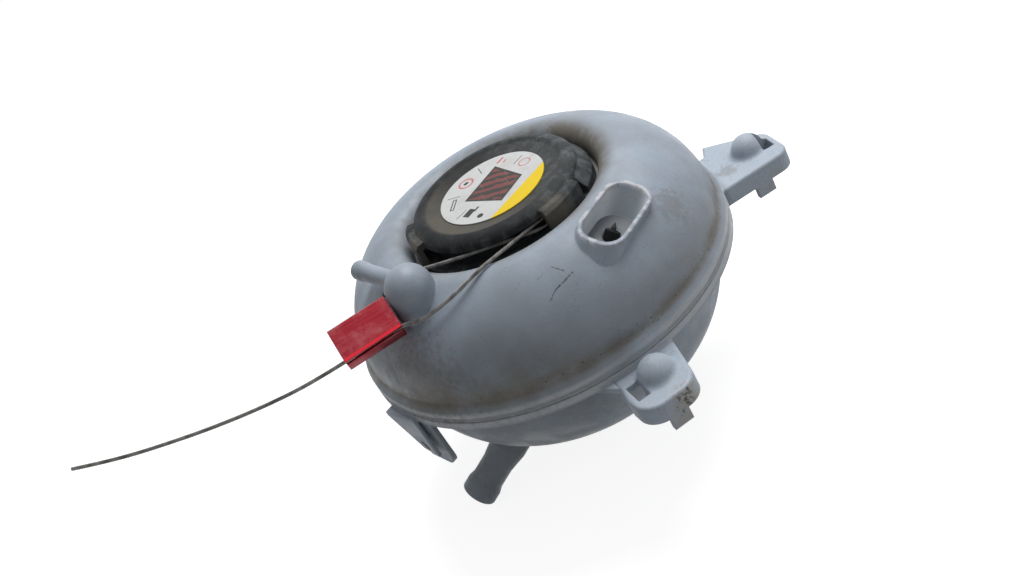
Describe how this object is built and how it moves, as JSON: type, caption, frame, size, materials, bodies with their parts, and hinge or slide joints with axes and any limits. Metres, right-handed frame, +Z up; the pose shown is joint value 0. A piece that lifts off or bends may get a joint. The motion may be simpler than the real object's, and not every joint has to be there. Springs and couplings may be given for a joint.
{
  "type": "coolant expansion tank",
  "caption": "Round translucent coolant expansion tank of welded shells, with a sealed screw cap, vent nipple, sensor socket, outlet pipe and mounting ears.",
  "frame": {"origin": "where the tank's axis crosses the top edge of the weld flange, which the ears and the hook are placed from", "axes": "+Z up along the tank's and the cap's axis; +X towards the side ear; the front ear is at -Y"},
  "size_m": [0.2945, 0.1801, 0.1183],
  "materials": {
    "tank": "translucent, dusty",
    "cap": "fine grain, dusty",
    "label": "printed",
    "contact": "dull",
    "sleeve": "matt",
    "insert": "moulded",
    "sealing": "matt",
    "spring": "drawn wire",
    "block": "red anodised",
    "wire": "stranded"
  },
  "bodies": {
    "tank": {"upper_shell": "tank", "lower_shell": "tank", "contact_pin_1": "contact", "contact_pin_2": "contact", "contact_sleeve_1": "sleeve", "contact_sleeve_2": "sleeve", "valve_housing": "insert", "upper_sealing_ring": "sealing", "lower_sealing_ring": "sealing", "spring_retainer": "insert", "relief_spring": "spring", "seal_block": "block", "seal_loop": "wire", "seal_tail": "wire"},
    "cap": {"cap_cover": "cap", "cap_label": "label"},
    "relief_valve": {"relief_piston": "insert", "piston_seal": "sealing", "vacuum_spring": "spring"},
    "vacuum_valve": {"vacuum_valve": "insert", "vacuum_seal": "sealing", "vacuum_clip": "spring"}
  },
  "joints": [
    {"name": "cap_turn", "type": "hinge", "parent": "tank", "child": "cap", "pos_m": [0, 0, 0.036], "axis": [0, 0, 1], "range_deg": [0, 20]},
    {"name": "relief_lift", "type": "slide", "parent": "tank", "child": "relief_valve", "axis": [0, 0, 1], "range_m": [0, 0.003], "stiffness_N_per_m": 4000, "springref_m": -0.004, "deforming": ["relief_spring"]},
    {"name": "vacuum_drop", "type": "slide", "parent": "relief_valve", "child": "vacuum_valve", "axis": [0, 0, -1], "range_m": [0, 0.0015], "stiffness_N_per_m": 300, "springref_m": -0.002, "deforming": ["vacuum_spring"]}
  ]
}
